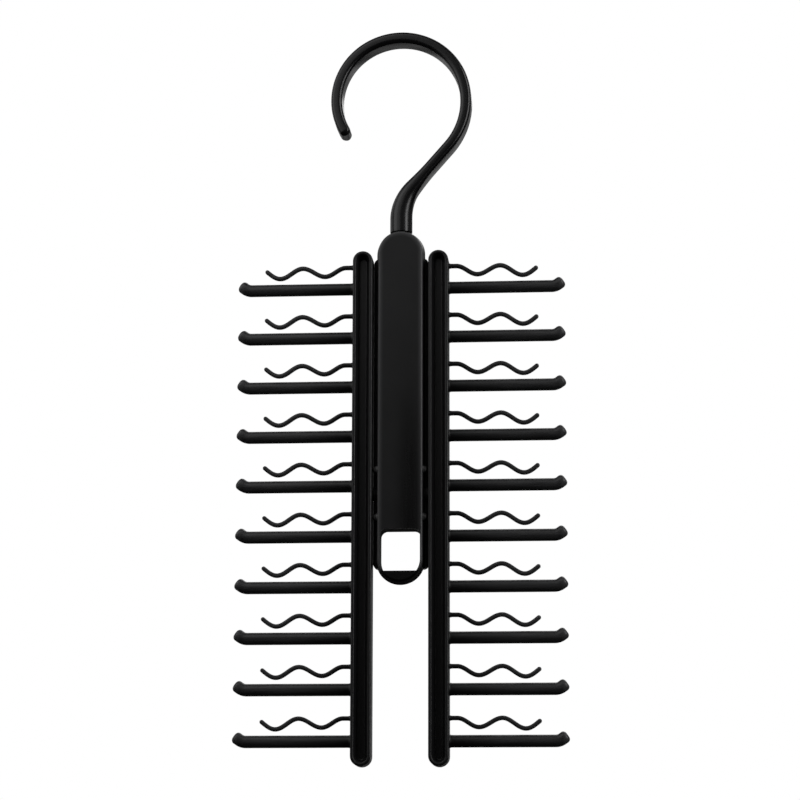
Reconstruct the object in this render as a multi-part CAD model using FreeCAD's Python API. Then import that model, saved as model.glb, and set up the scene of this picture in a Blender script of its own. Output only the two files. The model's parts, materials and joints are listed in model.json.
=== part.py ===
import FreeCAD, Part
import math
import os

# Tie hanger: a swivel hook carries a slim two-shell body, and a comb of tie bars turns on each side of it.
# Millimetres. X runs along the tie bars, -Y is the front, +Z is up.
# The origin is the seat of the hook: the top of its inner curve, where a closet rod bears.

# Hook
HOOK_THICKNESS = 5.0
HOOK_DEPTH = 11.0
HOOK_EDGE_RADIUS = 1.6
CROWN_INNER_RADIUS = 26.2
CROWN_END_ANGLE = 70.0
TIP_ANGLE = 119.0
LEG_ANGLE = 131.0
SWAN_BEND_RADIUS = 22.0
NECK_DIAMETER = 9.8
NECK_LENGTH = 6.1
HOOK_REACH = 87.0
STEM_DIAMETER = 4.6
STEM_HEAD_DIAMETER = 6.2
STEM_HEAD_HEIGHT = 2.2

# Body, a front and a rear shell that meet at the middle of the depth, where the body is widest
BODY_END_RADIUS = 10.6
BODY_SPAN = 135.8
BODY_DEPTH = 10.0
BODY_DRAFT = 1.0
BODY_EDGE_RADIUS = 1.0
SWIVEL_FLAT_DROP = 0.7
SHELL_FRONT_WALL = 1.6
SHELL_SIDE_WALL = 2.8
SWIVEL_WALL = 3.0
SWIVEL_POCKET_WIDTH = 8.4
HOLE_RIM = 0.9
HOLE_HEIGHT = 18.2
HOLE_SILL = 4.6
HOLE_CORNER_RADIUS = 2.9
HOLE_TOP_WALL = 3.0
NUB_RADIUS = 1.9
NUB_RISE = 10.4
NUB_DEPTH_PLACE = 2.8
RIB_GAP = 0.3
RIB_WIDTH = 4.2
RIB_FRONT = 0.6
RIB_DEPTH = 4.2
RIB_BELOW_DOME = 3.7
RIB_BELOW_FOOT = 1.3
PEG_DIAMETER = 3.2
PEG_REACH = 2.0
SOCKET_WALL = 1.4
PEG_PLACE_SHARES = (0.16, 0.45, 0.74)

# Pivot of the combs
PIVOT_DROP = 107.0
STUB_DIAMETER = 4.8
STUB_LIP_DIAMETER = 6.2
STUB_LIP_WIDTH = 1.4
COLLAR_DIAMETER = 5.8

# Rail of a comb
RAIL_GAP = 1.6
RAIL_WIDTH = 8.8
RAIL_DEPTH = 10.0
RAIL_ABOVE_PIVOT = 108.0
RAIL_EDGE_RADIUS = 0.8
GROOVE_WIDTH = 6.0
GROOVE_FLOOR_WIDTH = 3.4
GROOVE_DEPTH = 4.0
GROOVE_LIP_RADIUS = 0.6
GROOVE_FLOOR_RADIUS = 0.8
RIM_OUTER_SHARE = 0.6
RIM_INNER_SHARE = 0.5

# Tie bars
BAR_COUNT = 10
BAR_PITCH = 22.0
BAR_TOP_MARGIN = 16.2
BAR_BOTTOM_MARGIN = 10.7
BAR_DIAMETER = 5.3
BAR_STRAIGHT = 46.7
BAR_TIP_LENGTH = 4.2
BAR_TIP_ANGLE = 36.0
BAR_BEND_RADIUS = 5.0
BAR_TIP_ROUNDING = 1.5

# Wavy grip fingers
FINGER_THICKNESS = 1.9
FINGER_DEPTH = 2.4
FINGER_ROOT_RISE = 9.8
FINGER_WAVE_HEIGHT = 4.0
FINGER_HALF_WAVE = 9.95
FINGER_FIRST_TROUGH = 12.6
FINGER_RAMP_ANGLE = 29.0
FINGER_BEND_RADIUS = 5.6
FINGER_TIP_RUN = 5.9
FINGER_TIP_ANGLE = 34.0
FINGER_SAG = 0.65

# Clearances, and the length by which a cutting shape passes the surface that it cuts
RUNNING_CLEARANCE = 0.05
TURNING_GAP = 0.3
OVERRUN = 1.0
FLATNESS = 0.001

Vector = FreeCAD.Vector
Y_AXIS = Vector(0, 1, 0)
Z_AXIS = Vector(0, 0, 1)

# Heights and places that follow from the sizes above
swivel_seat = -HOOK_REACH
neck_foot = swivel_seat + TURNING_GAP
dome_centre = swivel_seat + SWIVEL_FLAT_DROP - BODY_END_RADIUS
foot_centre = dome_centre - BODY_SPAN
body_half_depth = BODY_DEPTH / 2
face_radius = BODY_END_RADIUS - BODY_DRAFT
cavity_half_depth = body_half_depth - SHELL_FRONT_WALL
cavity_half_width = BODY_END_RADIUS - SHELL_SIDE_WALL
swivel_pocket_top = swivel_seat - SWIVEL_WALL
hole_radius = face_radius - HOLE_RIM
hole_bottom = foot_centre - face_radius + HOLE_SILL
hole_top = hole_bottom + HOLE_HEIGHT
cavity_bottom = hole_top + HOLE_TOP_WALL
pivot_height = dome_centre - PIVOT_DROP
rail_inner = BODY_END_RADIUS + RAIL_GAP
rail_outer = rail_inner + RAIL_WIDTH
rail_middle = (rail_inner + rail_outer) / 2
rib_reach = rail_inner - RIB_GAP
rail_top = pivot_height + RAIL_ABOVE_PIVOT
rail_bottom = rail_top - BAR_TOP_MARGIN - (BAR_COUNT - 1) * BAR_PITCH - BAR_BOTTOM_MARGIN
bar_heights = [rail_top - BAR_TOP_MARGIN - index * BAR_PITCH for index in range(BAR_COUNT)]


def line(start, end):
    """Straight edge between two points."""
    return Part.LineSegment(start, end).toShape()


def arc(start, middle, end):
    """Circular edge through three points."""
    return Part.Arc(start, middle, end).toShape()


def closed_outline(points):
    """Straight-sided closed wire through the points."""
    return Part.makePolygon(list(points) + [points[0]])


def round_ended_outline(half_width, low, high, depth, centre=0):
    """Upright wire with half-round ends, whose centres are at the heights low and high."""
    right_low = Vector(centre + half_width, depth, low)
    right_high = Vector(centre + half_width, depth, high)
    left_low = Vector(centre - half_width, depth, low)
    left_high = Vector(centre - half_width, depth, high)
    crown = Vector(centre, depth, high + half_width)
    foot = Vector(centre, depth, low - half_width)
    return Part.Wire([
        line(right_low, right_high),
        arc(right_high, crown, left_high),
        line(left_high, left_low),
        arc(left_low, foot, right_low),
    ])


def slab(outline, thickness):
    """Solid between an upright outline and its copy set back by the thickness."""
    return Part.Face(outline).extrude(Y_AXIS * thickness)


def block(half_width, depth_low, depth_high, low, high):
    """Box centred on X = 0."""
    corner = Vector(-half_width, depth_low, low)
    return Part.makeBox(2 * half_width, depth_high - depth_low, high - low, corner)


def sideways_rod(diameter, start, end, height):
    """Round rod along X at the given height, in the middle of the depth."""
    direction = Vector(math.copysign(1, end - start), 0, 0)
    return Part.makeCylinder(diameter / 2, abs(end - start), Vector(start, 0, height), direction)


def upright_rod(diameter, low, high):
    """Round rod along Z on the swivel axis."""
    return Part.makeCylinder(diameter / 2, high - low, Vector(0, 0, low), Z_AXIS)


def edges_at_depth(shape, depth):
    """Edges that lie wholly in the upright plane at this depth."""
    found = []
    for edge in shape.Edges:
        box = edge.BoundBox
        if abs(box.YMin - depth) < FLATNESS and abs(box.YMax - depth) < FLATNESS:
            found.append(edge)
    return found


def rim_edges(shape, depth, middle, half_width):
    """Edges at this depth whose ends lie half a width to either side of an upright middle line."""
    found = []
    for edge in edges_at_depth(shape, depth):
        offsets = [abs(vertex.X - middle) for vertex in edge.Vertexes]
        if all(abs(offset - half_width) < FLATNESS for offset in offsets):
            found.append(edge)
    return found


def clock(angle):
    """Unit vector in the plane of the hook, turned from +Z towards +X by the angle in degrees."""
    turn = math.radians(angle)
    return Vector(math.sin(turn), 0, math.cos(turn))


# Hook

def band_edges():
    """Edges of the flat band's section, going round: a corner, then a flat side, four times.

    Each edge has its start, middle and end as offsets across the band and along Y.
    """
    across = HOOK_THICKNESS / 2 - HOOK_EDGE_RADIUS
    along = HOOK_DEPTH / 2 - HOOK_EDGE_RADIUS

    def place(corner, turn):
        angle = math.radians(turn)
        x = corner[0] + HOOK_EDGE_RADIUS * math.cos(angle)
        y = corner[1] + HOOK_EDGE_RADIUS * math.sin(angle)
        return (x, y)

    corners = [(across, along), (-across, along), (-across, -along), (across, -along)]
    edges = []
    for index, corner in enumerate(corners):
        turn = 90 * index
        rounding = [place(corner, turn), place(corner, turn + 45), place(corner, turn + 90)]
        far = place(corners[(index + 1) % len(corners)], turn + 90)
        near = rounding[-1]
        edges.append(rounding)
        edges.append([near, ((near[0] + far[0]) / 2, (near[1] + far[1]) / 2), far])
    return edges


def blended_section(centre, outward, roundness):
    """Section between the flat band, at roundness 0, and the round neck, at roundness 1."""
    radius = NECK_DIAMETER / 2
    wire = []
    for index, edge in enumerate(band_edges()):
        points = []
        for part, (flat_across, flat_along) in enumerate(edge):
            angle = math.radians(45 * (index + (part + 1) / 2))
            across = flat_across + (radius * math.cos(angle) - flat_across) * roundness
            along = flat_along + (radius * math.sin(angle) - flat_along) * roundness
            points.append(centre + outward * across + Y_AXIS * along)
        flat_side = index % 2 == 1 and not roundness
        wire.append(line(points[0], points[2]) if flat_side else arc(*points))
    return Part.Wire(wire)


def band_section(centre, outward):
    """Face of the band's section at a point of its path; outward points across the band."""
    return Part.Face(blended_section(centre, outward, 0))


def band_arc(centre, radius, start, end):
    """Band bent round a centre, between two clock angles."""
    outward = clock(start)
    section = band_section(centre + outward * radius, outward)
    return section.revolve(centre, Y_AXIS, end - start)


def band_tip(centre, outward):
    """Round end of the band: the outer half of its section, turned about the line down its middle."""
    edges = band_edges()
    rear_corner, outer_side, front_corner = edges[6], edges[7], edges[0]

    def place(across, along):
        return centre + outward * across + Y_AXIS * along

    rear_middle = place(0, -HOOK_DEPTH / 2)
    front_middle = place(0, HOOK_DEPTH / 2)
    wire = Part.Wire([
        line(rear_middle, place(*rear_corner[0])),
        arc(*[place(*point) for point in rear_corner]),
        line(place(*outer_side[0]), place(*outer_side[2])),
        arc(*[place(*point) for point in front_corner]),
        line(place(*front_corner[2]), front_middle),
        line(front_middle, rear_middle),
    ])
    return Part.Face(wire).revolve(centre, Y_AXIS, -180)


def side_curve_radius(crown_radius, lean, meeting_height):
    """Radius of the side curve that brings the leg, leaning by this angle, onto the swivel axis at a height.

    The height falls in proportion to the radius, so the radius is the fall that is left over by the crown,
    divided by the fall for each unit of radius.
    """
    crown_turn = math.radians(CROWN_END_ANGLE)
    crown_share = math.cos(crown_turn) - math.sin(crown_turn) / math.tan(lean)
    fall_share = math.cos(crown_turn) + math.sin(lean)
    fall_share += (math.cos(lean) - math.sin(crown_turn)) / math.tan(lean)
    return (crown_radius * crown_share - CROWN_INNER_RADIUS - meeting_height) / fall_share


def make_hook():
    """Crown from the rounded tip round, side curve, slanted leg, swan bend that turns round, and swivel stem."""
    crown_radius = CROWN_INNER_RADIUS + HOOK_THICKNESS / 2
    lean = math.radians(LEG_ANGLE - 90)
    bend_tangent = SWAN_BEND_RADIUS * math.tan(lean / 2)
    bend_end = neck_foot + NECK_LENGTH
    side_radius = side_curve_radius(crown_radius, lean, bend_end + bend_tangent)
    crown_centre = Vector(0, 0, -CROWN_INNER_RADIUS)
    side_centre = crown_centre - clock(CROWN_END_ANGLE) * (side_radius - crown_radius)
    crown = band_arc(crown_centre, crown_radius, -TIP_ANGLE, CROWN_END_ANGLE)
    side_curve = band_arc(side_centre, side_radius, CROWN_END_ANGLE, LEG_ANGLE)
    tip_outward = clock(-TIP_ANGLE)
    tip = band_tip(crown_centre + tip_outward * crown_radius, tip_outward)

    # The leg runs straight from the side curve to the start of the swan bend
    leg_outward = clock(LEG_ANGLE)
    leg_direction = clock(LEG_ANGLE + 90)
    leg_start = side_centre + leg_outward * side_radius
    leg_length = leg_start.x / math.sin(lean) - bend_tangent
    leg = band_section(leg_start, leg_outward).extrude(leg_direction * leg_length)

    # The swan bend swings the path upright while its section grows from the flat band to the round neck
    bend_centre = Vector(SWAN_BEND_RADIUS, 0, bend_end)
    roundness_shares = (0, 0.22, 0.6, 1)
    sections = []
    for index, roundness in enumerate(roundness_shares):
        bend_share = index / (len(roundness_shares) - 1)
        outward = clock(LEG_ANGLE + (90 - LEG_ANGLE) * bend_share)
        sections.append(blended_section(bend_centre - outward * SWAN_BEND_RADIUS, outward, roundness))
    swan_bend = Part.makeLoft(sections, True, False)

    neck = upright_rod(NECK_DIAMETER, neck_foot, bend_end)
    head_top = swivel_pocket_top - TURNING_GAP
    stem = upright_rod(STEM_DIAMETER, head_top, neck_foot)
    head = upright_rod(STEM_HEAD_DIAMETER, head_top - STEM_HEAD_HEIGHT, head_top)
    return crown.fuse([side_curve, tip, leg, swan_bend, neck, stem, head]).removeSplitter()


# Body shells

def hole_outline(depth):
    """Square hole: flat sill, sides that follow the body's round foot, and rounded top corners."""
    sill_drop = foot_centre - hole_bottom
    sill_half = math.sqrt(hole_radius ** 2 - sill_drop ** 2)
    side_turn = math.asin(sill_drop / hole_radius) / 2
    side_middle = Vector(hole_radius * math.cos(side_turn), depth, foot_centre - hole_radius * math.sin(side_turn))
    corner_low = hole_top - HOLE_CORNER_RADIUS
    corner_in = hole_radius - HOLE_CORNER_RADIUS
    corner_reach = HOLE_CORNER_RADIUS * math.sqrt(1 / 2)
    corner_middle = Vector(corner_in + corner_reach, depth, corner_low + corner_reach)
    right = [
        Vector(sill_half, depth, hole_bottom),
        side_middle,
        Vector(hole_radius, depth, foot_centre),
        Vector(hole_radius, depth, corner_low),
        corner_middle,
        Vector(corner_in, depth, hole_top),
    ]
    left = [Vector(-point.x, point.y, point.z) for point in right]
    return Part.Wire([
        line(left[0], right[0]),
        arc(right[0], right[1], right[2]),
        line(right[2], right[3]),
        arc(right[3], right[4], right[5]),
        line(right[5], left[5]),
        arc(left[5], left[4], left[3]),
        line(left[3], left[2]),
        arc(left[2], left[1], left[0]),
    ])


def peg_heights():
    """Heights of the locating pegs, as shares of the way from the swivel pocket to the cavity's floor."""
    return [swivel_pocket_top + (cavity_bottom - swivel_pocket_top) * share for share in PEG_PLACE_SHARES]


def make_shell(facing):
    """Half of the body; facing is -1 for the front shell and 1 for the rear one."""
    face_depth = facing * body_half_depth
    cavity_depth = facing * cavity_half_depth
    parting = round_ended_outline(BODY_END_RADIUS, foot_centre, dome_centre, 0)
    face = round_ended_outline(face_radius, foot_centre, dome_centre, face_depth)
    shell = Part.makeLoft([parting, face], True, True)
    shell = shell.makeFillet(BODY_EDGE_RADIUS, edges_at_depth(shell, face_depth))

    # Nubs on the front shell's flanks, above and below the pivot, keep the combs parallel to the body.
    # Behind them the rear shell carries a rib along each flank, which fills most of the gap to the rails.
    flank = BODY_END_RADIUS - BODY_DRAFT * NUB_DEPTH_PLACE / body_half_depth
    for side in (-1, 1):
        if facing < 0:
            for rise in (-NUB_RISE, NUB_RISE):
                place = Vector(side * flank, facing * NUB_DEPTH_PLACE, pivot_height + rise)
                shell = shell.fuse(Part.makeSphere(NUB_RADIUS, place))
        else:
            middle = side * (rib_reach - RIB_WIDTH / 2)
            rib_low = foot_centre - RIB_BELOW_FOOT
            rib_high = dome_centre - RIB_BELOW_DOME
            rib = slab(round_ended_outline(RIB_WIDTH / 2, rib_low, rib_high, RIB_FRONT, middle), RIB_DEPTH)
            collar_diameter = COLLAR_DIAMETER + 2 * TURNING_GAP
            collar_reach = side * (rib_reach + OVERRUN)
            collar_room = sideways_rod(collar_diameter, side * BODY_END_RADIUS, collar_reach, pivot_height)
            shell = shell.fuse(rib).cut(collar_room)

    # Cavity for the comb stubs, with a narrow pocket for the hook's head above it
    cavity_low = cavity_bottom + cavity_half_width
    cavity = slab(round_ended_outline(cavity_half_width, cavity_low, dome_centre, 0), cavity_depth)
    pocket_depths = sorted((0, cavity_depth))
    pocket = block(SWIVEL_POCKET_WIDTH / 2, *pocket_depths, dome_centre, swivel_pocket_top)
    shell = shell.cut([cavity, pocket])

    # Through hole, swivel flat with its stem bore, and the bore of the comb stubs
    hole = slab(hole_outline(facing * -OVERRUN), facing * (BODY_DEPTH / 2 + 2 * OVERRUN))
    outside = body_half_depth + OVERRUN
    flat_cut = block(BODY_END_RADIUS, -outside, outside, swivel_seat, swivel_seat + BODY_END_RADIUS)
    stem_diameter = STEM_DIAMETER + 2 * RUNNING_CLEARANCE
    stem_bore = upright_rod(stem_diameter, swivel_pocket_top - OVERRUN, swivel_seat + OVERRUN)
    stub_reach = BODY_END_RADIUS + OVERRUN
    stub_diameter = STUB_DIAMETER + 2 * RUNNING_CLEARANCE
    stub_bore = sideways_rod(stub_diameter, -stub_reach, stub_reach, pivot_height)
    shell = shell.cut([hole, flat_cut, stem_bore, stub_bore])

    # Front pegs enter the sockets of the rear shell
    peg_axis = Y_AXIS * -facing
    for height in peg_heights():
        root = Vector(0, cavity_depth, height)
        if facing < 0:
            shell = shell.fuse(Part.makeCylinder(PEG_DIAMETER / 2, cavity_half_depth + PEG_REACH, root, peg_axis))
        else:
            bore_radius = PEG_DIAMETER / 2 + RUNNING_CLEARANCE
            socket = Part.makeCylinder(bore_radius + SOCKET_WALL, cavity_half_depth, root, peg_axis)
            bore = Part.makeCylinder(bore_radius, cavity_half_depth, root, peg_axis)
            shell = shell.fuse(socket.cut(bore))
    return shell.removeSplitter()


# Combs

def make_rail(side):
    """Upright rail with a long groove in front and behind, and the stub that turns in the body.

    The groove's walls slope to a narrower floor, and the rims on both sides of it are rounded ridges.
    """
    half_width = RAIL_WIDTH / 2
    half_depth = RAIL_DEPTH / 2
    low = rail_bottom + half_width
    high = rail_top - half_width
    middle = side * rail_middle
    rail = slab(round_ended_outline(half_width, low, high, -half_depth, middle), RAIL_DEPTH)
    mouth_half = GROOVE_WIDTH / 2
    floor_half = GROOVE_FLOOR_WIDTH / 2
    rim = half_width - mouth_half
    outer_radius = min(RAIL_EDGE_RADIUS, rim * RIM_OUTER_SHARE)
    lip_radius = min(GROOVE_LIP_RADIUS, rim * RIM_INNER_SHARE)
    for facing in (-1, 1):
        mouth = facing * half_depth
        floor = mouth - facing * GROOVE_DEPTH
        mouth_outline = round_ended_outline(mouth_half, low, high, mouth, middle)
        floor_outline = round_ended_outline(floor_half, low, high, floor, middle)
        rail = rail.cut(Part.makeLoft([mouth_outline, floor_outline], True, True))
        rail = rail.makeFillet(GROOVE_FLOOR_RADIUS, rim_edges(rail, floor, middle, floor_half))
        rail = rail.makeFillet(lip_radius, rim_edges(rail, mouth, middle, mouth_half))
        rail = rail.makeFillet(outer_radius, rim_edges(rail, mouth, middle, half_width))

    # Collar against the body's flank, then the stub that runs in the body and the lip that holds it there
    wall = side * rail_inner
    flank = side * (BODY_END_RADIUS + TURNING_GAP)
    lip_outer = side * (cavity_half_width - TURNING_GAP)
    lip_inner = lip_outer - side * STUB_LIP_WIDTH
    collar = sideways_rod(COLLAR_DIAMETER, wall, flank, pivot_height)
    stub = sideways_rod(STUB_DIAMETER, wall, lip_inner, pivot_height)
    lip = sideways_rod(STUB_LIP_DIAMETER, lip_outer, lip_inner, pivot_height)
    return rail.fuse([collar, stub, lip]).removeSplitter()


def make_bar(side, height):
    """Round tie bar that bends up towards its blunt, rounded tip."""
    lean = math.radians(BAR_TIP_ANGLE)
    root = Vector(side * rail_outer, 0, height)
    bend = root + Vector(side * BAR_STRAIGHT, 0, 0)
    end = bend + Vector(side * math.cos(lean), 0, math.sin(lean)) * BAR_TIP_LENGTH
    path = rounded_path([root, bend, end], BAR_BEND_RADIUS)
    ring = Part.Wire(Part.makeCircle(BAR_DIAMETER / 2, root, Vector(side, 0, 0)))
    bar = path.makePipeShell([ring], True, False)
    blunt_end = min(bar.Faces, key=lambda face: (face.CenterOfMass - end).Length)
    return bar.makeFillet(BAR_TIP_ROUNDING, blunt_end.Edges)


def finger_path(side, height):
    """Middle line of a grip finger: flat root, then ramps joined by round crests and troughs."""
    slope = math.tan(math.radians(FINGER_RAMP_ANGLE))
    crest = height + FINGER_ROOT_RISE
    apex_cut = FINGER_BEND_RADIUS * (1 / math.cos(math.radians(FINGER_RAMP_ANGLE)) - 1)
    low_apex = crest - FINGER_WAVE_HEIGHT - apex_cut
    high_apex = low_apex + FINGER_HALF_WAVE * slope
    last_apex = low_apex - FINGER_SAG
    tip_rise = FINGER_TIP_RUN * math.tan(math.radians(FINGER_TIP_ANGLE))
    second_trough = FINGER_FIRST_TROUGH + 2 * FINGER_HALF_WAVE
    corners = [
        (-RAIL_EDGE_RADIUS, crest),
        (FINGER_FIRST_TROUGH - (crest - low_apex) / slope, crest),
        (FINGER_FIRST_TROUGH, low_apex),
        (FINGER_FIRST_TROUGH + FINGER_HALF_WAVE, high_apex),
        (second_trough, last_apex),
        (second_trough + FINGER_TIP_RUN, last_apex + tip_rise),
    ]
    points = [Vector(side * (rail_outer + run), 0, level) for run, level in corners]
    return rounded_path(points, FINGER_BEND_RADIUS)


def rounded_path(points, radius):
    """Wire of straight runs through the points, with every inner corner rounded to the radius."""
    edges = []
    start = points[0]
    for before, corner, after in zip(points, points[1:], points[2:]):
        back = (before - corner).normalize()
        onward = (after - corner).normalize()
        half_opening = back.getAngle(onward) / 2
        run = radius / math.tan(half_opening)
        bisector = (back + onward).normalize()
        middle = corner + bisector * (radius / math.sin(half_opening) - radius)
        edges.append(line(start, corner + back * run))
        edges.append(arc(corner + back * run, middle, corner + onward * run))
        start = corner + onward * run
    edges.append(line(start, points[-1]))
    return Part.Wire(edges)


def make_finger(side, height):
    """Wavy grip finger: its middle line thickened evenly, with a round tip and a root flat on the rail."""
    path = finger_path(side, height)
    outline = path.makeOffset2D(FINGER_THICKNESS / 2)
    finger = Part.Face(outline).extrude(Y_AXIS * FINGER_DEPTH)
    finger.translate(Y_AXIS * (-FINGER_DEPTH / 2))
    return finger.cut(block(rail_outer, -FINGER_DEPTH, FINGER_DEPTH, rail_bottom, rail_top))


def make_parts():
    """Every node of the hanger by name."""
    parts = {
        "hook": make_hook(),
        "front_shell": make_shell(-1),
        "rear_shell": make_shell(1),
    }
    for side, word in ((-1, "left"), (1, "right")):
        parts[f"{word}_rail"] = make_rail(side)
        for number, height in enumerate(bar_heights, start=1):
            parts[f"{word}_tie_bar_{number:02d}"] = make_bar(side, height)
            parts[f"{word}_grip_finger_{number:02d}"] = make_finger(side, height)
    return parts


os.makedirs("parts", exist_ok=True)
for node, shape in make_parts().items():
    shape.exportStep(f"parts/{node}.step")
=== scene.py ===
import bpy
import json
import math
import numpy as np
from mathutils import Matrix, Vector


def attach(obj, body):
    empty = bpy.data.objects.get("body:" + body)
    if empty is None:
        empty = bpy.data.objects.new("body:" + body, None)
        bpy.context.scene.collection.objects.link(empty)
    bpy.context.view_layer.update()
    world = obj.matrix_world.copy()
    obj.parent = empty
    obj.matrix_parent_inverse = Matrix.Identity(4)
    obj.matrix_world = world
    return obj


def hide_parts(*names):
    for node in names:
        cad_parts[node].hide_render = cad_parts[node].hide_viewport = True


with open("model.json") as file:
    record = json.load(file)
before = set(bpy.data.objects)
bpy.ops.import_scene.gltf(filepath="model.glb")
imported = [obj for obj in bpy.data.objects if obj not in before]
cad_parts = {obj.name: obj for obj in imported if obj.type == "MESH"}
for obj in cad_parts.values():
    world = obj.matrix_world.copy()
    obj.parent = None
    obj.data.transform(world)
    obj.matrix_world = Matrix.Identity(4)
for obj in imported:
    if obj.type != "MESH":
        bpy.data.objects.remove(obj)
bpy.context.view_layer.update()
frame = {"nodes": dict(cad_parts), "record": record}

MM = 0.001
QUARTER_TURN = 90.0

# Colours of the plastics in even light, as moulded, and the colours of painted shade, painted light and
# painted highlights
HOOK_BLACK = "#131314"
BODY_BLACK = "#1c1c1d"
COMB_BLACK = "#151516"
# Near black painted as shade in the foot, in the hole, in the gaps beside the rails and in a patch on the
# face
PAINTED_SHADE_BLACK = "#0a0a0a"
# Grey painted as light on the bars and fingers, paler towards their ends
PAINTED_LIGHT_GREY = "#39393a"
# Grey painted as highlights along the body's edges and on the bars' tips
PAINTED_HIGHLIGHT_GREY = "#4c4c4d"

# Spans of the plastics' drift of shade and of their sink ripples, in millimetres, and the drift's strength
DRIFT_SPAN = 14
RIPPLE_SPAN = 9
SHADE_DRIFT = 0.3

# Hook, in millimetres; the origin is the seat on its inner curve, and clock angles run from +Z towards +X
BAND_HALF_THICKNESS = 2.5
BAND_HALF_DEPTH = 5.5
BAND_ROUNDING = 1.85
LEG_HALF_THICKNESS = 2.3
CROWN_CENTRE = -26.2
CROWN_RADIUS = 28.7
TIP_CLOCK = -119.0
CROWN_END_CLOCK = 70.0
LEG_CLOCK = 131.0
SWAN_RADIUS = 22
NECK_LENGTH = 6.1
NECK_RADIUS = 4.9
# The leg is set out from the foot of the solid neck. The neck seen here ends lower, just clear of the body
NECK_FOOT = -86.7
NECK_SEAT = -86.95
NECK_FOOT_ROUNDING = 0.15
STEM_RADIUS = 2.3
STEM_END = -90.3
HEAD_RADIUS = 3.1
HEAD_END = -92.5
# Extra rings this far outside the stem keep the shading crisp where it begins and where its head steps out
STEM_SHOULDER = 1
HEAD_LIP = 0.4

# Body, in millimetres: the centres of its round ends
DOME_CENTRE = -96.9
FOOT_CENTRE = -232.7

# Combs, in millimetres
RAIL_OUTER = 21.0
ROOT_OVERLAP = 0.5
BAR_TOP = -112.1
BAR_PITCH = 22
BAR_COUNT = 10
BAR_RADIUS = 2.65
BAR_STRAIGHT = 46.7
BAR_TIP_LENGTH = 4.2
BAR_TIP_ANGLE = math.radians(36)
BAR_BEND_RADIUS = 5.0
BAR_TIP_ROUNDING = 1.6
BAR_FLARE = 0.35
BAR_FLARE_LENGTH = 1.2
FINGER_HALF_THICKNESS = 0.95
FINGER_HALF_DEPTH = 1.2
FINGER_ROUNDING = 0.8
FINGER_FLARE = 0.3
FINGER_FLARE_LENGTH = 1.5
# Turning points of a finger's middle line: run from the rail, and rise above the bar's axis
FINGER_RUNS = (-0.5, 3.4, 12.6, 22.55, 32.5, 38.3)
FINGER_RISES = (9.8, 9.8, 5.95, 9.8, 5.3, 8.4)

# Rings along each stretch of a swept piece, points round a ring, and where along its rounding a tip closes
TIP_RINGS = 24
CROWN_RINGS = 240
SIDE_RINGS = 84
LEG_RINGS = 60
SWAN_RINGS = 44
NECK_RINGS = 18
NECK_FOOT_RINGS = 8
HOOK_SIDES = 64
BAR_FLARE_RINGS = 7
BAR_STRAIGHT_RINGS = 12
BAR_BEND_RINGS = 14
BAR_TIP_RINGS = 10
BAR_SIDES = 40
FINGER_WAVE_RINGS = 26
FINGER_TIP_RINGS = 10
FINGER_SIDES = 24
TIP_SHARE = 0.996

# Where finishes and painted light and shade change, in millimetres: each pair is where one begins and where
# it is full
EDGE_REACH = (7.2, 9.8)
FACE_DEPTH = (3.7, 4.3)
# Patch of painted shade low on the face's right
SHADE_PATCH_MIDDLE = 4.2
SHADE_PATCH_SPREAD = (8.6, 0)
SHADE_PATCH_DROP = (-137, -200)
FRONT_FACE = (-4.0, -4.6)
FOOT_DROP = (-236.5, -238)
HOLE_DROP = (-217, -218)
HOLE_REACH = (9.15, 8.95)
HOLE_DEPTH = (4.7, 4.5)
RIB_REACH = (10.65, 10.85)
RIB_DEPTH = (0.2, 0.5)
NUB_REACH = (10.0, 10.4)
NUB_DEPTH = (0.0, -0.5)
# Reaches of the painted light on the bars and of the painted highlight on the bars' tips
BAR_LIGHT_REACH = (RAIL_OUTER, 50)
TIP_HIGHLIGHT_REACH = (68.6, 70.6)
PIVOT_REACH = (12.15, 12.05)
# Sizes of the streaks in the patch of painted shade and in the painted light on the bars, in millimetres
# along X, Y and Z
SHADE_PATCH_STREAK = (1.2, 1.2, 30)
BAR_LIGHT_STREAK = (14, 1.1, 1.1)

# Camera of the photograph: right of the middle, below the hanger and looking up at it. Half the frame and the
# focal length are in pixels
VIEW_AIM = Vector((-0.4, 0, -162.1)) * MM
VIEW_DISTANCE = 1133.7 * MM
VIEW_YAW = math.radians(4.63)
VIEW_TILT = math.radians(11.62)
VIEW_ROLL = math.radians(0.14)
FRAME_HALF = 400
FOCAL_LENGTH = 2600

# Settings of the nodes that are used most
TIMES = {"operation": "MULTIPLY"}
MINUS = {"operation": "SUBTRACT"}
LARGER = {"operation": "MAXIMUM"}
ABSOLUTE = {"operation": "ABSOLUTE"}
SMOOTH = {"interpolation_type": "SMOOTHSTEP"}
COLOURS = {"data_type": "RGBA"}
NUMBERS = {"data_type": "FLOAT"}


def linear(hex_colour):
    """Linear RGBA of an sRGB hex colour."""
    shares = np.array([int(hex_colour[i:i + 2], 16) for i in (1, 3, 5)]) / 255
    curve = np.where(shares <= 0.04045, shares / 12.92, ((shares + 0.055) / 1.055) ** 2.4)
    return (*curve, 1)


def add_node(tree, kind, settings=None, **inputs):
    """Node of this kind with its settings; an input, by name or _ and number, is a value or a socket."""
    node = tree.nodes.new(kind)
    for name, value in (settings or {}).items():
        setattr(node, name, value)
    for name, value in inputs.items():
        socket = node.inputs[int(name[1:])] if name[1:].isdigit() else node.inputs[name.replace("_", " ")]
        if isinstance(value, bpy.types.NodeSocket):
            tree.links.new(value, socket)
        else:
            socket.default_value = value
    return node


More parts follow.
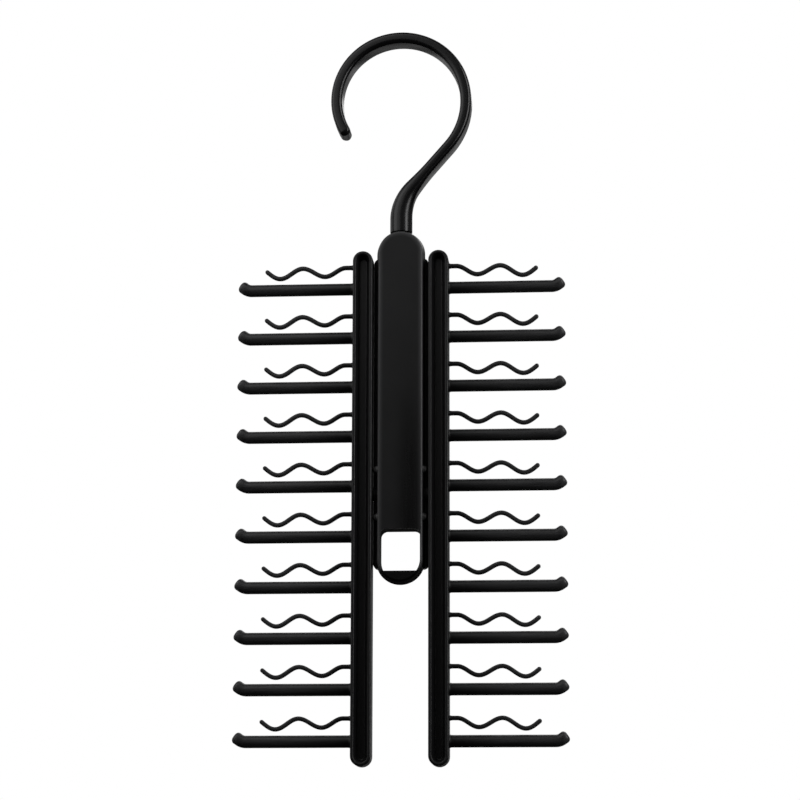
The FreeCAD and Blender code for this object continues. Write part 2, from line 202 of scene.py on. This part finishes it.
def moulded_plastic(name, colour, roughness, gloss_drift, grain, grain_depth, ripple_depth, specular):
    """Black moulded plastic: tool grain of this size and slow sink ripples, with drifts of shade and gloss.

    The drift spans as much as flow from the gate does. Grain and depths are in millimetres. Noise keeps
    mostly to 0.3 to 0.7, over which the gloss drifts from end to end.
    """
    material = bpy.data.materials.new(name)
    material.use_nodes = True
    tree = material.node_tree
    shader = tree.nodes["Principled BSDF"]
    place = add_node(tree, "ShaderNodeTexCoord").outputs["Object"]
    drift = add_node(tree, "ShaderNodeTexNoise", Vector=place, Scale=1 / (DRIFT_SPAN * MM), Detail=4.0)
    fine = add_node(tree, "ShaderNodeTexNoise", Vector=place, Scale=1 / (grain * MM), Detail=3.0)
    fine.inputs["Roughness"].default_value = 0.6
    ripple = add_node(tree, "ShaderNodeTexNoise", Vector=place, Scale=1 / (RIPPLE_SPAN * MM), Detail=1.0)
    dark, light = (np.array(linear(colour)[:3]) * share for share in (1 - SHADE_DRIFT, 1 + SHADE_DRIFT))
    both = {"operation": "ADD"}
    mottle = add_node(tree, "ShaderNodeMath", both, _0=drift.outputs["Fac"], _1=fine.outputs["Fac"])
    half = add_node(tree, "ShaderNodeMath", TIMES, _0=mottle.outputs[0], _1=0.5)
    shade = add_node(tree, "ShaderNodeMix", COLOURS, _0=half.outputs[0], _6=(*dark, 1), _7=(*light, 1))
    gloss = add_node(tree, "ShaderNodeMapRange", Value=half.outputs[0], From_Min=0.3, From_Max=0.7)
    gloss.inputs["To Min"].default_value = roughness - gloss_drift
    gloss.inputs["To Max"].default_value = roughness + gloss_drift
    sunk = add_node(tree, "ShaderNodeBump", Height=ripple.outputs["Fac"], Strength=1.0)
    sunk.inputs["Distance"].default_value = ripple_depth * MM
    bump = add_node(tree, "ShaderNodeBump", Height=fine.outputs["Fac"], Strength=1.0)
    bump.inputs["Distance"].default_value = grain_depth * MM
    tree.links.new(sunk.outputs["Normal"], bump.inputs["Normal"])
    tree.links.new(shade.outputs[2], shader.inputs["Base Color"])
    tree.links.new(gloss.outputs["Result"], shader.inputs["Roughness"])
    tree.links.new(bump.outputs["Normal"], shader.inputs["Normal"])
    shader.inputs["IOR"].default_value = 1.5
    shader.inputs["Specular IOR Level"].default_value = specular
    return material


def fade_zone(tree, *fades):
    """Mask on a surface: product of smooth fades, each of a socket from 0 to 1 between two places in mm."""
    mask = 1.0
    for socket, pair in fades:
        begin, full = (limit * MM for limit in pair)
        fade = add_node(tree, "ShaderNodeMapRange", SMOOTH, Value=socket, From_Min=begin, From_Max=full)
        mask = add_node(tree, "ShaderNodeMath", TIMES, _0=mask, _1=fade.outputs[0]).outputs[0]
    return mask


def streaked(tree, mask, place, sizes, least):
    """Mask times noise, which is drawn out to streaks of these sizes in mm and goes from least to 1."""
    scale = tuple(1 / (size * MM) for size in sizes)
    stretched = add_node(tree, "ShaderNodeVectorMath", TIMES, _0=place, _1=scale)
    noise = add_node(tree, "ShaderNodeTexNoise", Vector=stretched.outputs[0], Scale=1.0, Detail=2.0)
    spread = add_node(tree, "ShaderNodeMapRange", Value=noise.outputs["Fac"], From_Min=0.35, From_Max=0.65)
    spread.inputs["To Min"].default_value = least
    return add_node(tree, "ShaderNodeMath", TIMES, _0=mask, _1=spread.outputs[0]).outputs[0]


def refinish(tree, mask, colour, roughness):
    """Another colour and roughness where the mask is 1."""
    base, gloss = (tree.nodes["Principled BSDF"].inputs[name] for name in ("Base Color", "Roughness"))
    old_base, old_gloss = base.links[0].from_socket, gloss.links[0].from_socket
    new_base = add_node(tree, "ShaderNodeMix", COLOURS, _0=mask, _6=old_base, _7=linear(colour))
    new_gloss = add_node(tree, "ShaderNodeMix", NUMBERS, _0=mask, _2=old_gloss, _3=roughness)
    tree.links.new(new_base.outputs[2], base)
    tree.links.new(new_gloss.outputs[0], gloss)


def paint_body_light_and_shade(tree):
    """Painted light and shade, and changes of grain, on the body.

    A point's reach from the middle line is sqrt(x^2 + p^2), with p how far it lies past the centre of a
    round end, so that one reach follows the whole edge of a face.
    """
    place = add_node(tree, "ShaderNodeTexCoord").outputs["Object"]
    x, y, z = add_node(tree, "ShaderNodeSeparateXYZ", Vector=place).outputs
    across = add_node(tree, "ShaderNodeMath", ABSOLUTE, _0=x).outputs[0]
    deep = add_node(tree, "ShaderNodeMath", ABSOLUTE, _0=y).outputs[0]
    # The faces' rounded edges are painted paler, a painted highlight along them, and made a little rougher
    above = add_node(tree, "ShaderNodeMath", MINUS, _0=z, _1=DOME_CENTRE * MM)
    below = add_node(tree, "ShaderNodeMath", MINUS, _0=FOOT_CENTRE * MM, _1=z)
    past = add_node(tree, "ShaderNodeMath", LARGER, _0=above.outputs[0], _1=below.outputs[0])
    past = add_node(tree, "ShaderNodeMath", LARGER, _0=past.outputs[0], _1=0.0)
    spoke = add_node(tree, "ShaderNodeCombineXYZ", X=x, Z=past.outputs[0])
    reach = add_node(tree, "ShaderNodeVectorMath", {"operation": "LENGTH"}, _0=spoke.outputs[0])
    edge = fade_zone(tree, (reach.outputs["Value"], EDGE_REACH), (deep, FACE_DEPTH))
    refinish(tree, edge, PAINTED_HIGHLIGHT_GREY, roughness=0.45)
    # Painted shade: a near black, glossier patch low on the face's right, in streaks along the body, standing
    # in for the dark room it mirrors
    aside = add_node(tree, "ShaderNodeMath", MINUS, _0=x, _1=SHADE_PATCH_MIDDLE * MM)
    aside = add_node(tree, "ShaderNodeMath", ABSOLUTE, _0=aside.outputs[0]).outputs[0]
    shade_patch = fade_zone(tree, (aside, SHADE_PATCH_SPREAD), (z, SHADE_PATCH_DROP), (y, FRONT_FACE))
    shade_patch = streaked(tree, shade_patch, place, SHADE_PATCH_STREAK, least=0.75)
    refinish(tree, shade_patch, PAINTED_SHADE_BLACK, roughness=0.22)
    # The foot below the hole is painted near black, a painted shade for the light fading towards the bottom,
    # and is smooth too
    refinish(tree, fade_zone(tree, (z, FOOT_DROP)), PAINTED_SHADE_BLACK, roughness=0.25)
    # The hole's walls and the ribs on the flanks come from cores with a coarser grain and look dull. Their
    # near black is painted shade, for the shade inside the hole and in the gaps beside the rails
    hole = fade_zone(tree, (z, HOLE_DROP), (across, HOLE_REACH), (deep, HOLE_DEPTH))
    refinish(tree, hole, PAINTED_SHADE_BLACK, roughness=0.85)
    refinish(tree, fade_zone(tree, (across, RIB_REACH), (y, RIB_DEPTH)), PAINTED_SHADE_BLACK, roughness=0.85)
    # The nubs on the front half's flanks are somewhat dull as well, and painted near black as shade in the
    # gaps beside the rails
    refinish(tree, fade_zone(tree, (across, NUB_REACH), (y, NUB_DEPTH)), PAINTED_SHADE_BLACK, roughness=0.65)


def paint_comb_light_and_shade(tree):
    """Painted light on the bars and fingers, and painted shade on the dull pivots."""
    place = add_node(tree, "ShaderNodeTexCoord").outputs["Object"]
    x = add_node(tree, "ShaderNodeSeparateXYZ", Vector=place).outputs["X"]
    across = add_node(tree, "ShaderNodeMath", ABSOLUTE, _0=x).outputs[0]
    # The bars and fingers are painted paler towards their ends, in streaks: painted light for the shade near
    # the rail. The bars' tips get a painted highlight
    bar_light = fade_zone(tree, (across, BAR_LIGHT_REACH))
    bar_light = streaked(tree, bar_light, place, BAR_LIGHT_STREAK, least=0.5)
    refinish(tree, bar_light, PAINTED_LIGHT_GREY, roughness=0.42)
    refinish(tree, fade_zone(tree, (across, TIP_HIGHLIGHT_REACH)), PAINTED_HIGHLIGHT_GREY, roughness=0.42)
    # The pivots between rail and body have the tool's coarse grain, and are painted near black as shade in
    # the gaps where they sit
    refinish(tree, fade_zone(tree, (across, PIVOT_REACH)), PAINTED_SHADE_BLACK, roughness=0.85)


# ABS from a polished tool: clear long reflections with soft edges, and hardly any grain
hook_plastic = moulded_plastic(
    "abs_polished", HOOK_BLACK, roughness=0.27, gloss_drift=0.05,
    grain=0.9, grain_depth=0.003, ripple_depth=0.02, specular=0.5,
)
# ABS from a spark-eroded tool: an even dark grey face with a fine speckle, drawn at 0.7 mm so that it shows
body_plastic = moulded_plastic(
    "abs_spark_eroded", BODY_BLACK, roughness=0.42, gloss_drift=0.06,
    grain=0.7, grain_depth=0.02, ripple_depth=0.02, specular=0.45,
)
paint_body_light_and_shade(body_plastic.node_tree)
# Polypropylene from a blasted tool: a satin skin whose rounded edges carry soft broken lights
comb_plastic = moulded_plastic(
    "polypropylene_satin", COMB_BLACK, roughness=0.42, gloss_drift=0.07,
    grain=0.8, grain_depth=0.012, ripple_depth=0.03, specular=0.45,
)
paint_comb_light_and_shade(comb_plastic.node_tree)

slots = {"hook_plastic": hook_plastic, "body_plastic": body_plastic, "comb_plastic": comb_plastic}
for subpart in frame["record"]["subparts"]:
    node = frame["nodes"][subpart["node"]]
    node.material_slots[0].material = slots[subpart["material_slot"]]


def sweep(name, path, outward, across, along, rounding, sides, body, slot, node):
    """Piece swept along a path in the X-Z plane, which stands for a CAD node and moves with its body.

    A ring's point at angle f is path + outward * u + Y * v, with u = sgn(cos f) (across - rounding) +
    rounding cos f and v = sgn(sin f) (along - rounding) + rounding sin f: a rectangle with round corners.
    A fan round the middle closes each end. All sizes are in millimetres.
    """
    turn = 2 * np.pi * (np.arange(sides) + 0.5) / sides
    cos, sin = np.cos(turn), np.sin(turn)
    sizes = (across, along, rounding)
    across, along, rounding = (np.broadcast_to(size, len(path))[:, None] for size in sizes)
    u = np.sign(cos) * (across - rounding) + rounding * cos
    v = np.sign(sin) * (along - rounding) + rounding * sin
    rings = path[:, None, :] + outward[:, None, :] * u[..., None] + np.array([0, 1, 0]) * v[..., None]
    points = np.vstack([rings.reshape(-1, 3), path[:1], path[-1:]]) * MM
    count = len(path)
    ring = np.arange(sides)
    after = (ring + 1) % sides
    base = np.arange(count - 1)[:, None] * sides
    walls = np.stack([base + ring, base + after, base + sides + after, base + sides + ring], -1)
    first = np.stack([after, ring, np.full(sides, count * sides)], -1)
    last = np.stack([ring, after, np.full(sides, count * sides + 1)], -1)
    last[:, :2] += (count - 1) * sides
    # Going along the path, outward x Y points forwards or backwards, which decides how the faces are wound
    forward = np.cross(outward[0], [0, 1, 0]) @ (path[1] - path[0]) > 0
    faces = walls.reshape(-1, 4).tolist() + first.tolist() + last.tolist()
    mesh = bpy.data.meshes.new(name)
    mesh.from_pydata(points, [], faces)
    if not forward:
        mesh.flip_normals()
    mesh.polygons.foreach_set("use_smooth", np.ones(len(mesh.polygons), bool))
    mesh.materials.append(slots[slot])
    piece = bpy.data.objects.new(name, mesh)
    bpy.context.collection.objects.link(piece)
    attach(piece, body)
    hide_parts(node)


def clock(degrees):
    """Unit vectors in the X-Z plane, turned from +Z towards +X."""
    turn = np.radians(np.asarray(degrees, float))
    return np.stack([np.sin(turn), np.zeros_like(turn), np.cos(turn)], -1)


def smooth_step(low, high, value):
    """0 below low, 1 above high, and 3t^2 - 2t^3 between."""
    t = np.clip((value - low) / (high - low), 0, 1)
    return t * t * (3 - 2 * t)


def make_hook():
    """Hook from its tip over the crown, down the side and the leg to the swan bend, the neck, stem and head.

    The path is a circle about the rod's place, a wider circle that touches it and the leg, the straight leg,
    a bend and the swivel axis. With n across the leg and u where the circles meet, the wider radius is
    (n . foot - n . centre - (n . u) r) / (1 - n . u). The tip's half thickness falls as sqrt(1 - t^2), the
    band slims towards the leg, and in the bend its section goes smoothly over to the neck's circle.
    """
    lean = math.radians(LEG_CLOCK - QUARTER_TURN)
    tangent = SWAN_RADIUS * math.tan(lean / 2)
    centre = np.array([0, 0, CROWN_CENTRE])
    leg_foot = np.array([0, 0, NECK_FOOT + NECK_LENGTH + tangent])
    leg_normal, meeting = clock(LEG_CLOCK), clock(CROWN_END_CLOCK)
    share = leg_normal @ meeting
    side_radius = (leg_normal @ (leg_foot - centre) - share * CROWN_RADIUS) / (1 - share)
    side_centre = centre - meeting * (side_radius - CROWN_RADIUS)

    tip_share = np.sin(np.linspace(np.pi / 2, 0, TIP_RINGS))[:-1] * TIP_SHARE
    crown_clock = np.linspace(TIP_CLOCK, CROWN_END_CLOCK, CROWN_RINGS)
    side_clock = np.linspace(CROWN_END_CLOCK, LEG_CLOCK, SIDE_RINGS)[1:]
    bend_clock = np.linspace(LEG_CLOCK, QUARTER_TURN, SWAN_RINGS)[1:]
    crown = centre + clock(crown_clock) * CROWN_RADIUS
    tip = crown[0] - clock(TIP_CLOCK + QUARTER_TURN) * tip_share[:, None] * BAND_HALF_THICKNESS
    side = side_centre + clock(side_clock) * side_radius
    leg_end = leg_foot - clock(LEG_CLOCK + QUARTER_TURN) * tangent
    leg = side[-1] + (leg_end - side[-1]) * np.linspace(0, 1, LEG_RINGS)[1:, None]
    bend = leg_end + (leg_normal - clock(bend_clock)) * SWAN_RADIUS
    curl = np.linspace(0, np.pi / 2, NECK_FOOT_RINGS)[1:]
    neck_drop = np.linspace(bend[-1, 2], NECK_SEAT + NECK_FOOT_ROUNDING, NECK_RINGS)[1:]
    foot_drop = NECK_SEAT + NECK_FOOT_ROUNDING * (1 - np.sin(curl))
    inner_drop = np.array([NECK_SEAT, NECK_SEAT, STEM_END, STEM_END, STEM_END, HEAD_END])
    drops = np.concatenate([neck_drop, foot_drop, inner_drop])
    shaft = drops[:, None] * np.array([0, 0, 1])

    path = np.vstack([tip, crown, side, leg, bend, shaft])
    clocks = np.concatenate([
        np.full(len(tip), TIP_CLOCK), crown_clock, side_clock, np.full(len(leg), LEG_CLOCK),
        bend_clock, np.full(len(shaft), QUARTER_TURN),
    ])
    steps = np.linalg.norm(np.diff(path, axis=0), axis=1)
    length = np.concatenate([[0], np.cumsum(steps)])
    side_start = len(tip) + len(crown)
    leg_start = side_start + len(side)
    shaft_start = len(path) - len(shaft)
    slimness = smooth_step(length[side_start], length[leg_start], length)
    roundness = smooth_step(length[leg_start + len(leg) // 2], length[shaft_start], length)
    closing = np.ones(len(path))
    closing[:len(tip)] = np.sqrt(1 - tip_share ** 2)
    across = BAND_HALF_THICKNESS + (LEG_HALF_THICKNESS - BAND_HALF_THICKNESS) * slimness
    across = (across + (NECK_RADIUS - across) * roundness) * closing
    along = BAND_HALF_DEPTH + (NECK_RADIUS - BAND_HALF_DEPTH) * roundness - BAND_ROUNDING * (1 - closing)
    rounding = BAND_ROUNDING + (NECK_RADIUS - BAND_ROUNDING) * roundness
    foot_radius = NECK_RADIUS - NECK_FOOT_ROUNDING * (1 - np.cos(curl))
    inner_radius = [
        STEM_RADIUS + STEM_SHOULDER, STEM_RADIUS,
        STEM_RADIUS, STEM_RADIUS + HEAD_LIP, HEAD_RADIUS, HEAD_RADIUS,
    ]
    ends = np.concatenate([foot_radius, inner_radius])
    across[-len(ends):] = along[-len(ends):] = rounding[-len(ends):] = ends
    rounding = np.minimum(rounding, across)
    sweep(
        "swivel_hook", path, clock(clocks), across, along, rounding, HOOK_SIDES,
        "hook", "hook_plastic", "hook",
    )


def add_to_comb(side, number, kind, node_kind, run, rise, lean, section, sides):
    """Piece of a comb, swept along its run out from the rail and its rise above the bar's axis.

    Its path is (side (rail + run), 0, level + rise), and (-side sin lean, 0, cos lean) points outwards.
    """
    word = "left" if side < 0 else "right"
    level = BAR_TOP - BAR_PITCH * (number - 1)
    flat = np.zeros_like(run)
    path = np.stack([side * (RAIL_OUTER + run), flat, level + rise], -1)
    outward = np.stack([-side * np.sin(lean), flat, np.cos(lean)], -1)
    sweep(
        f"{word}_{kind}_{number:02d}", path, outward, *section, sides,
        f"{word}_comb", "comb_plastic", f"{word}_{node_kind}_{number:02d}",
    )


def make_bar(side, number):
    """Round tie bar: a straight run, a bend of constant radius and a short end that is rounded off.

    Its radius flares as (1 - t)^2 at the root and closes as a quarter circle at the tip.
    """
    tangent = BAR_BEND_RADIUS * math.tan(BAR_TIP_ANGLE / 2)
    straight = BAR_STRAIGHT - tangent
    end = BAR_TIP_LENGTH - tangent
    root = np.concatenate([[-ROOT_OVERLAP], np.linspace(0, BAR_FLARE_LENGTH, BAR_FLARE_RINGS)])
    middle = np.linspace(BAR_FLARE_LENGTH, straight, BAR_STRAIGHT_RINGS)[1:-1]
    turn = np.linspace(0, BAR_TIP_ANGLE, BAR_BEND_RINGS)
    curl = np.linspace(0, np.pi / 2, BAR_TIP_RINGS)
    run = np.concatenate([root, middle, straight + BAR_BEND_RADIUS * np.sin(turn)])
    rise = np.concatenate([np.zeros(len(run) - len(turn)), BAR_BEND_RADIUS * (1 - np.cos(turn))])
    reach = end - BAR_TIP_ROUNDING + BAR_TIP_ROUNDING * np.sin(curl)
    run = np.concatenate([run, run[-1] + reach * math.cos(BAR_TIP_ANGLE)])
    rise = np.concatenate([rise, rise[-1] + reach * math.sin(BAR_TIP_ANGLE)])
    lean = np.zeros(len(run))
    lean[-len(curl) - len(turn):-len(curl)] = turn
    lean[-len(curl):] = BAR_TIP_ANGLE
    radius = BAR_RADIUS + BAR_FLARE * np.clip(1 - run / BAR_FLARE_LENGTH, 0, 1) ** 2
    radius[0] = radius[1]
    radius[-len(curl):] = BAR_RADIUS - BAR_TIP_ROUNDING * (1 - np.cos(curl))
    add_to_comb(side, number, "bar", "tie_bar", run, rise, lean, (radius, radius, radius), BAR_SIDES)


def make_finger(side, number):
    """Wavy grip finger: half cosines between the turning points, and a rising quarter cosine to the tip.

    The section is a small rectangle with round corners, which swells at the root and closes as
    sqrt(1 - t^2) over the last half thickness.
    """
    runs, rises = np.array(FINGER_RUNS), np.array(FINGER_RISES)
    share = np.linspace(0, 1, FINGER_WAVE_RINGS)
    wave = (1 - np.cos(np.pi * share)) / 2
    lift = 1 - np.cos(np.pi / 2 * share)
    bows = [wave] * (len(runs) - 2) + [lift]
    stretches = [a + (b - a) * share[:-1] for a, b in zip(runs, runs[1:])]
    swings = [a + (b - a) * bow[:-1] for a, b, bow in zip(rises, rises[1:], bows)]
    run = np.concatenate(stretches + [runs[-1:]])
    rise = np.concatenate(swings + [rises[-1:]])
    slope = np.gradient(rise, run)
    tip_way = np.array([1, slope[-1]]) / math.hypot(1, slope[-1])
    tip_share = np.sin(np.linspace(0, np.pi / 2, FINGER_TIP_RINGS))[1:] * TIP_SHARE
    run = np.concatenate([run, run[-1] + tip_way[0] * tip_share * FINGER_HALF_THICKNESS])
    rise = np.concatenate([rise, rise[-1] + tip_way[1] * tip_share * FINGER_HALF_THICKNESS])
    slope = np.concatenate([slope, np.full(len(tip_share), slope[-1])])
    closing = np.ones(len(run))
    closing[-len(tip_share):] = np.sqrt(1 - tip_share ** 2)
    flare = FINGER_FLARE * np.clip(1 - run / FINGER_FLARE_LENGTH, 0, 1) ** 2
    across = (FINGER_HALF_THICKNESS + flare) * closing
    along = FINGER_HALF_DEPTH + flare - FINGER_ROUNDING * (1 - closing)
    rounding = np.minimum(FINGER_ROUNDING + flare, across)
    section = (across, along, rounding)
    add_to_comb(side, number, "finger", "grip_finger", run, rise, np.arctan(slope), section, FINGER_SIDES)


make_hook()
for side in (-1, 1):
    for number in range(1, BAR_COUNT + 1):
        make_bar(side, number)
        make_finger(side, number)


def softbox(name, place, aim, width, height, power):
    """Rectangular studio lamp at a place, turned to the aim; in metres and watts."""
    lamp = bpy.data.lights.new(name, "AREA")
    lamp.shape = "RECTANGLE"
    lamp.size = width
    lamp.size_y = height
    lamp.energy = power
    holder = bpy.data.objects.new(name, lamp)
    holder.location = place
    holder.rotation_euler = (Vector(aim) - Vector(place)).to_track_quat("-Z", "Y").to_euler()
    bpy.context.collection.objects.link(holder)


# A narrow bright box right of the front and two dim ones on the left draw the edges. A small one close by on
# the upper left and one above the front light the faces, fading towards the foot. One behind lights the rear
MIDDLE = (0, 0, -0.1)
UPPER_MIDDLE = (0, 0, -0.06)
LOWER_MIDDLE = (0, 0, -0.12)
softbox("right_softbox", (0.9, -0.52, 0.2), MIDDLE, width=0.4, height=1.1, power=4.8)
softbox("left_front_softbox", (-0.9, -0.5, 0.1), MIDDLE, width=0.7, height=1.2, power=1.6)
softbox("left_rear_softbox", (-0.9, 0.5, 0.1), MIDDLE, width=0.7, height=1.2, power=1.2)
softbox("key_softbox", (-0.22, -0.22, 0.12), UPPER_MIDDLE, width=0.5, height=0.4, power=0.36)
softbox("rear_softbox", (0.2, 0.7, 0.5), MIDDLE, width=0.9, height=0.6, power=2.5)
softbox("top_softbox", (-0.15, -0.45, 0.5), LOWER_MIDDLE, width=0.6, height=0.4, power=0.35)

# The background is white to the eye. The room is dim, and dark below eye level. Two pale cards behind the
# hanger, one level with it and one low, show in reflections only. Stops are a direction's height, from -1
# straight down to 1 straight up, and its brightness. The cards end where a direction turns away from +Y
ROOM_STOPS = ((-0.04, 0), (0.06, 0.05), (0.3, 0.1), (0.6, 0.07))
CARD_STOPS = (
    (-0.44, 0), (-0.37, 0.5), (-0.28, 0.5), (-0.22, 0.02),
    (-0.06, 0.02), (-0.02, 0.7), (0.06, 0.5), (0.12, 0.25), (0.35, 0.25), (0.5, 0),
)
CARD_END, CARD_FULL = 0.7, 0.95
world = bpy.data.worlds.new("studio")
bpy.context.scene.world = world
world.use_nodes = True
tree = world.node_tree
background = tree.nodes["Background"]
background.inputs["Color"].default_value = (1, 1, 1, 1)
rays = add_node(tree, "ShaderNodeLightPath").outputs
way = add_node(tree, "ShaderNodeTexCoord").outputs["Generated"]
ways = add_node(tree, "ShaderNodeSeparateXYZ", Vector=way).outputs
height = add_node(tree, "ShaderNodeMapRange", Value=ways["Z"], From_Min=-1.0)
levels = []
for stops in (ROOM_STOPS, CARD_STOPS):
    ramp = add_node(tree, "ShaderNodeValToRGB", Fac=height.outputs[0])
    ramp.color_ramp.elements[1].color = (0, 0, 0, 1)
    for place, level in stops:
        ramp.color_ramp.elements.new((place + 1) / 2).color = (level, level, level, 1)
    levels.append(ramp.outputs["Color"])
behind = add_node(tree, "ShaderNodeMapRange", SMOOTH, Value=ways["Y"], From_Min=CARD_END, From_Max=CARD_FULL)
cards = add_node(tree, "ShaderNodeMath", TIMES, _0=behind.outputs[0], _1=levels[1])
mirrored = add_node(tree, "ShaderNodeMath", TIMES, _0=cards.outputs[0], _1=rays["Is Glossy Ray"])
room = add_node(tree, "ShaderNodeMath", LARGER, _0=levels[0], _1=mirrored.outputs[0])
seen = add_node(tree, "ShaderNodeMath", LARGER, _0=rays["Is Camera Ray"], _1=rays["Is Transmission Ray"])
shade = add_node(tree, "ShaderNodeMath", LARGER, _0=room.outputs[0], _1=seen.outputs[0])
tree.links.new(shade.outputs[0], background.inputs["Strength"])

# Pale floor, as far below the hook as it is under a closet rod; white to the eye where no shadow falls, and
# dark to other rays, so that it throws no light up
FLOOR_SIZE = 3.0
FLOOR_HEIGHT = -1.7
FLOOR_PALE = "#e6e6e6"
FLOOR_DARK = "#262626"
FLOOR_GLOW = 0.9
corners = np.array([(-1, -1), (1, -1), (1, 1), (-1, 1)]) * FLOOR_SIZE / 2
floor_mesh = bpy.data.meshes.new("floor")
floor_mesh.from_pydata(np.column_stack([corners, np.full(4, FLOOR_HEIGHT)]), [], [(0, 1, 2, 3)])
floor = bpy.data.objects.new("floor", floor_mesh)
bpy.context.collection.objects.link(floor)
floor_paint = bpy.data.materials.new("pale_floor_paint")
floor_paint.use_nodes = True
tree = floor_paint.node_tree
paint = tree.nodes["Principled BSDF"]
paint.inputs["Roughness"].default_value = 0.8
eye = add_node(tree, "ShaderNodeLightPath").outputs["Is Camera Ray"]
glow = add_node(tree, "ShaderNodeMath", TIMES, _0=eye, _1=FLOOR_GLOW)
pale = add_node(tree, "ShaderNodeMix", COLOURS, _0=eye, _6=linear(FLOOR_DARK), _7=linear(FLOOR_PALE))
tree.links.new(pale.outputs[2], paint.inputs["Base Color"])
tree.links.new(glow.outputs[0], paint.inputs["Emission Strength"])
paint.inputs["Emission Color"].default_value = (1, 1, 1, 1)
floor_mesh.materials.append(floor_paint)

# Camera, turned from looking straight down to the photograph's direction
camera = bpy.data.objects.new("camera", bpy.data.cameras.new("camera"))
camera.data.angle = 2 * math.atan(FRAME_HALF / FOCAL_LENGTH)
camera.data.clip_start = 0.05
turn = Matrix.Rotation(VIEW_YAW, 4, "Z") @ Matrix.Rotation(math.radians(QUARTER_TURN) + VIEW_TILT, 4, "X")
turn = turn @ Matrix.Rotation(VIEW_ROLL, 4, "Z")
camera.matrix_world = Matrix.Translation(VIEW_AIM + turn.to_3x3() @ Vector((0, 0, VIEW_DISTANCE))) @ turn
bpy.context.collection.objects.link(camera)
bpy.context.scene.camera = camera
bpy.context.scene.view_settings.view_transform = "Standard"
